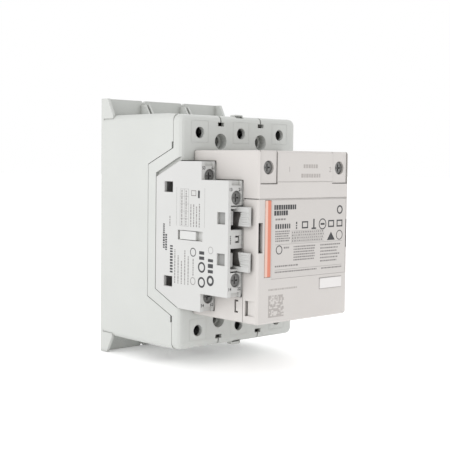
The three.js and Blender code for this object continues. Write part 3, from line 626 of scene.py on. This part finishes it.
def aux_bold_print():
    """Bars and rings in the places of a name, a type and symbols, up the block's side."""
    upper, lower = ABOVE_WINDOW, BELOW_WINDOW
    black = up_the_left(AUX_SIDE)
    black.line(AUX_MIDDLE - 8, AUX_MIDDLE + 6.5, -60, 1.5, 71, 0.45, 0.8, 0.25)
    black.line(AUX_MIDDLE - 9, AUX_MIDDLE, -62, 1.5, 72, 0.45, 0.8, 0.25)
    black.line(lower - 15, lower, -67, 2.3, 73, *SPACED)
    black.bar(upper + 15.5, upper + 19.5, -89, -87.5)
    for row in range(2):
        black.ring(lower - 18 + 8 * row, -91, 2.9, 1)
    black.line(lower - 6, lower, -93, 4, 75, *SPACED)
    black.ring(lower - 16.5, -98, 2.8, 1.3)
    black.line(lower - 12.5, lower - 3.5, -100, 4, 76, *SPACED)
    black.ring(lower - 2.5, -84, 2.4, 0.5)
    black.piece("aux_print_dark", "aux_block", "aux_plastic", BLACK_INK)


def aux_table(marks, small):
    """A small table above the window, with print in its two columns."""
    upper = ABOVE_WINDOW
    back, column_width, row_height, rows = 73, 3.5, 4, 5
    front = back + 2 * column_width
    for column in range(3):
        rule = -back - column_width * column
        marks.bar(upper, upper + rows * row_height, rule, rule + 0.14)
    for row in range(rows + 1):
        rule = upper + row_height * row
        marks.bar(rule, rule + 0.12, -front, -back)
    marks.paragraph(upper + 0.5, upper + 19.5, -back - 1, 2, column_width, small, 80, 0)


def aux_small_print():
    """Small print, rules, a table and thin symbols, up the block's side."""
    upper, lower, small = ABOVE_WINDOW, BELOW_WINDOW, 0.75
    grey = up_the_left(AUX_SIDE)
    for depth in (70, 93):
        grey.bar(upper, upper + 21, -depth, 0.12 - depth)
    aux_table(grey, small)
    grey.paragraph(upper, upper + 12.5, -81.5, 4, 2.3, small, 82, 0.4)
    grey.paragraph(lower - 20.5, lower - 2, -68.5, 5, 2.8, small, 88, 3)
    grey.line(lower - 15, lower - 6, -84.5, small, 94)
    grey.paragraph(upper - 0.5, upper + 5, -64, 1, 1, small, 97)
    grey.border(upper + 16.5, upper + 19.5, -86, -82, 0.4)
    grey.ring(lower - 18, -84, 2.1, 0.4)
    grey.ring(lower - 0.5, -98, 1.9, 0.25)
    grey.piece("aux_print_grey", "aux_block", "aux_plastic", GREY_INK)


def aux_front_marks():
    """Two-figure terminal numbers beside the screws, and the contact symbols between the levers."""
    height, clear, bold = 1.7, 0.1, 0.035
    block_low, block_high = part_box("aux_housing")
    starts = (block_low.x / MM + 0.4, block_high.x / MM - 2.6)
    terminals = (
        ("13", "21", AUX_FRONT),
        ("14", "22", AUX_FRONT),
        ("53", "61", AUX_STEP),
        ("54", "62", AUX_STEP),
    )
    for number, (left, right, depth) in enumerate(terminals, 1):
        low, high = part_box(f"aux_screw_{number}")
        z = high.z / MM + clear if low.z > 0 else low.z / MM - clear - height
        for text, x in zip((left, right), starts):
            name, place = f"aux_mark_{text}", (x, -depth, z)
            numeral(name, text, height, place, "aux_block", BLACK_INK, bold)
    marks = on_front(AUX_FRONT)
    marks.column(-43.6, 0.6, AUX_MIDDLE - 2.5, AUX_MIDDLE + 2.5, 95, 0.6, 1.2, 0.5)
    marks.piece("aux_symbols", "aux_block", "aux_plastic", GRAPHITE)


def window_floors():
    """Dark grey plates at the bottom of the block's lever windows: painted shade of the windows'
    insides.
    """
    window_floor, from_middle, half_height = -43.75, 10.7, 3
    back, front = 103, 108.8
    marks = on_left(window_floor, OUTLINE)
    for side in (1, -1):
        middle = AUX_MIDDLE + from_middle * side
        marks.bar(back, front, middle - half_height, middle + half_height)
    marks.piece("lever_window_shade", "aux_block", "aux_plastic", WINDOW_SHADE)


# ---------------------------------------------------------------- housing


def hole_outlines():
    """Faint moulded outlines round the terminal holes of the front face."""
    half_width, below, above, thick = 6.2, 5.4, 6.6, 0.16
    marks = on_front(HOUSING_FRONT, OUTLINE)
    for number in range(1, 7):
        low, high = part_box(f"clamp_screw_{number}")
        x, z = (low.x + high.x) / 2 / MM, (low.z + high.z) / 2 / MM
        marks.border(x - half_width, x + half_width, z - below, z + above, thick)
    marks.piece("terminal_outlines", "housing", "housing_plastic", PLASTIC)


def ejector_rings():
    """Rings that ejector pins leave in the recesses of the mounting face."""
    radius, thick = 3.2, 0.35
    marks = Marks((0, -RECESS_FLOOR, 0), LEFT, UP, OUTLINE)
    for x in (-30, 0, 30):
        for z in (-31, -14, 14, 31):
            marks.ring(x, z, radius, thick, 28)
    marks.piece("ejector_rings", "housing", "housing_plastic", PLASTIC)


def seam_lip():
    """The tongue of the fixed brow that closes the seam above the cover."""
    middle_depth, half_depth, half_width = 117.8, 5, 34.2
    clear_of_cover, brow_underside = 0.05, 20.2
    lip = on_front(middle_depth, half_depth)
    lip.bar(-half_width, half_width, COVER_TOP + clear_of_cover, brow_underside)
    lip.piece("seam_lip", "housing", "module_plastic", MODULE)


# ---------------------------------------------------------------- springs


def helix_mesh(name, low, high, wire, turns):
    """A closed round wire wound about the depth axis, filling the box from low to high."""
    sides, steps = 10, turns * 32
    middle_x, middle_z = (low.x + high.x) / 2, (low.z + high.z) / 2
    radius = (high.x - low.x) / 2 - wire
    bm = bmesh.new()
    rings = []
    for i in range(steps + 1):
        share = i / steps
        angle = 2 * math.pi * turns * share
        y = (high.y - wire) + (low.y - high.y + 2 * wire) * share
        ring = []
        for k in range(sides):
            around = 2 * math.pi * k / sides
            reach = radius + wire * math.cos(around)
            x, z = middle_x + reach * math.cos(angle), middle_z + reach * math.sin(angle)
            ring.append(bm.verts.new((x, y + wire * math.sin(around), z)))
        rings.append(ring)
    for first, second in zip(rings, rings[1:]):
        for k in range(sides):
            j = (k + 1) % sides
            bm.faces.new((first[k], first[j], second[j], second[k]))
    bm.faces.new(list(reversed(rings[0])))
    bm.faces.new(rings[-1])
    bmesh.ops.recalc_face_normals(bm, faces=bm.faces)
    for face in bm.faces:
        face.smooth = True
    mesh = bpy.data.meshes.new(name)
    bm.to_mesh(mesh)
    bm.free()
    return mesh


def spring(node, body, turns, wire):
    """A wound spring in place of its CAD node, its wire in millimetres.
    """
    low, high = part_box(node)
    mesh = helix_mesh(f"{node}_wire", low, high, wire * MM, turns)
    obj = piece(f"{node}_wire", mesh, body, SPRING)
    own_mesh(obj)
    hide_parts(node)


def springs():
    for i in (1, 2):
        node = f"return_spring_{i}"
        spring(node, "housing", turns=7, wire=0.5)
    for i in (1, 2, 3):
        node, joint = f"contact_spring_{i}", f"bridge_{i}_slide"
        spring(node, "carrier", turns=4, wire=0.45)


springs()
label_sheet()
label_print()
seam_lip()
code_block()
brow_print()
aux_bold_print()
aux_small_print()
aux_front_marks()
window_floors()
hole_outlines()
ejector_rings()


# ---------------------------------------------------------------- studio

# Angles in degrees and lengths in millimetres, with the lens for a sensor 36 mm wide.
CAMERA = {
    "azimuth": -42.62,
    "elevation": 3.69,
    "roll": 0.72,
    "distance": 617.2,
    "aside": 40.6,
    "above": -1.2,
}
LENS = 78.88
SENSOR = 36


def camera_axes(azimuth, elevation, roll):
    """Right, up and back of a camera, its angles in degrees."""
    a, e, r = (math.radians(angle) for angle in (azimuth, elevation, roll))
    back = Vector((math.sin(a) * math.cos(e), -math.cos(a) * math.cos(e), math.sin(e)))
    right = (-back).cross(Vector((0, 0, 1))).normalized()
    up = right.cross(-back)
    return math.cos(r) * right + math.sin(r) * up, math.cos(r) * up - math.sin(r) * right, back


def make_camera():
    right, up, back = camera_axes(CAMERA["azimuth"], CAMERA["elevation"], CAMERA["roll"])
    place = (right * CAMERA["aside"] + up * CAMERA["above"] + back * CAMERA["distance"]) * MM
    camera = bpy.data.objects.new("camera", bpy.data.cameras.new("camera"))
    camera.data.lens = LENS
    camera.data.sensor_width = SENSOR
    camera.data.clip_start = 0.02
    camera.matrix_world = Matrix.Translation(place) @ Matrix((right, up, back)).transposed().to_4x4()
    bpy.context.scene.collection.objects.link(camera)
    bpy.context.scene.camera = camera


def softbox(name, place, target, size, watts):
    light = bpy.data.lights.new(name, "AREA")
    light.shape = "RECTANGLE"
    light.size, light.size_y = size
    light.energy = watts
    obj = bpy.data.objects.new(name, light)
    obj.location = place
    obj.rotation_euler = (Vector(target) - Vector(place)).to_track_quat("-Z", "Y").to_euler()
    bpy.context.scene.collection.objects.link(obj)


def make_floor():
    """A wide pale floor just under the object."""
    n = Nodes("studio_floor")
    tone = n.between(n.noise(3, 2), 0.975, 0.99)
    colour = n.add("ShaderNodeCombineColor")
    for channel in range(3):
        n.link(tone, colour.inputs[channel])
    material = n.finish(colour.outputs["Color"], 0.85)
    n.link(colour.outputs["Color"], n.shader.inputs["Emission Color"])
    n.shader.inputs["Emission Strength"].default_value = 0.22
    mesh = bpy.data.meshes.new("studio_floor")
    half, clear = 6.0, 0.0002
    low = cad_box[0][2] - clear
    corners = [(-half, -half, low), (half, -half, low), (half, half, low), (-half, half, low)]
    mesh.from_pydata(corners, [], [(0, 1, 2, 3)])
    mesh.materials.append(material)
    floor = bpy.data.objects.new("studio_floor", mesh)
    bpy.context.scene.collection.objects.link(floor)


def make_studio():
    world = bpy.data.worlds.new("studio")
    world.use_nodes = True
    background = world.node_tree.nodes["Background"]
    background.inputs["Color"].default_value = (1, 1, 1, 1)
    background.inputs["Strength"].default_value = 1.0
    bpy.context.scene.world = world
    aim = (0, -0.06, 0)
    softbox("key", (-1.2, -0.1, 0.6), aim, (0.9, 0.9), 4)
    softbox("rim", (0.9, 0.6, 0.9), aim, (0.8, 0.8), 2)
    bpy.context.scene.view_settings.view_transform = "Standard"


make_camera()
make_floor()
make_studio()
